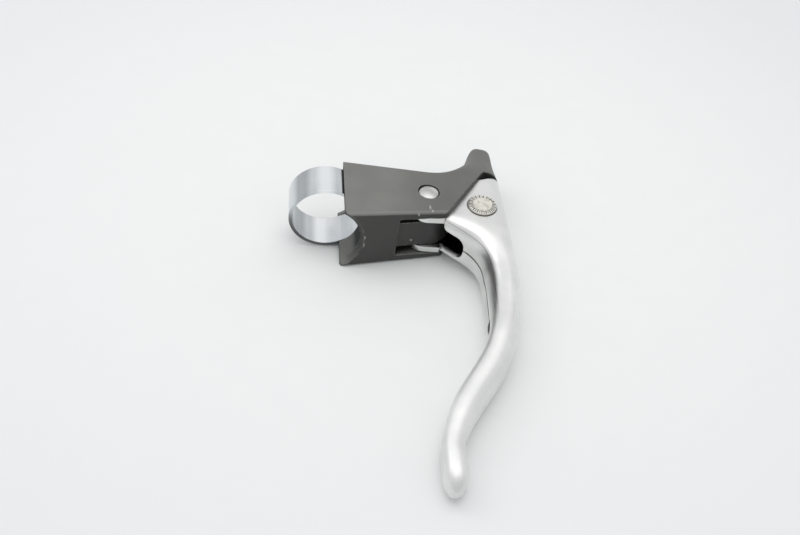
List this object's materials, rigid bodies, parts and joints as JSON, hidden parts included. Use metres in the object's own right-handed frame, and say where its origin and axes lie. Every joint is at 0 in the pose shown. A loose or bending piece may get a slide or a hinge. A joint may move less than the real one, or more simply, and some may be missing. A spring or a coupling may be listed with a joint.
{
  "type": "bicycle brake lever",
  "caption": "Drop-bar bicycle brake lever: moulded dark body with a cable horn and a steel bar clamp, and a folded alloy lever that swings on a rivet and pulls a cable anchor.",
  "frame": {"origin": "centre of the clamp band, on the axis of the handlebar", "axes": "+X forward from the bar to the lever, +Y along the bar towards the cable horn, +Z across the width, up as the part lies on its side; XY is the plane of symmetry"},
  "size_m": [0.0786, 0.1548, 0.0262],
  "materials": {
    "body_plastic": "dark warm grey moulded plastic with a fine grain",
    "lever_alloy": "satin polished, folded sheet",
    "pin_steel": "plain rivet head",
    "anchor_steel": "spread and toothed heads",
    "band_steel": "bluish zinc plating",
    "bolt_steel": "zinc plated"
  },
  "bodies": {
    "body": {"lever_body": "body_plastic", "pivot_pin": "pin_steel", "clamp_band": "band_steel", "clamp_nut": "bolt_steel", "clamp_bolt": "bolt_steel", "clamp_washer": "bolt_steel"},
    "lever": {"brake_lever": "lever_alloy"},
    "anchor": {"cable_anchor": "anchor_steel"}
  },
  "joints": [
    {"name": "lever_pivot", "type": "hinge", "parent": "body", "child": "lever", "pos_m": [0.036, -0.0022, 0], "axis": [0, 0, -1], "range_deg": [0, 28]},
    {"name": "anchor_turn", "type": "hinge", "parent": "lever", "child": "anchor", "pos_m": [0.0554, -0.0051, 0], "axis": [0, 0, 1], "continuous": true}
  ]
}
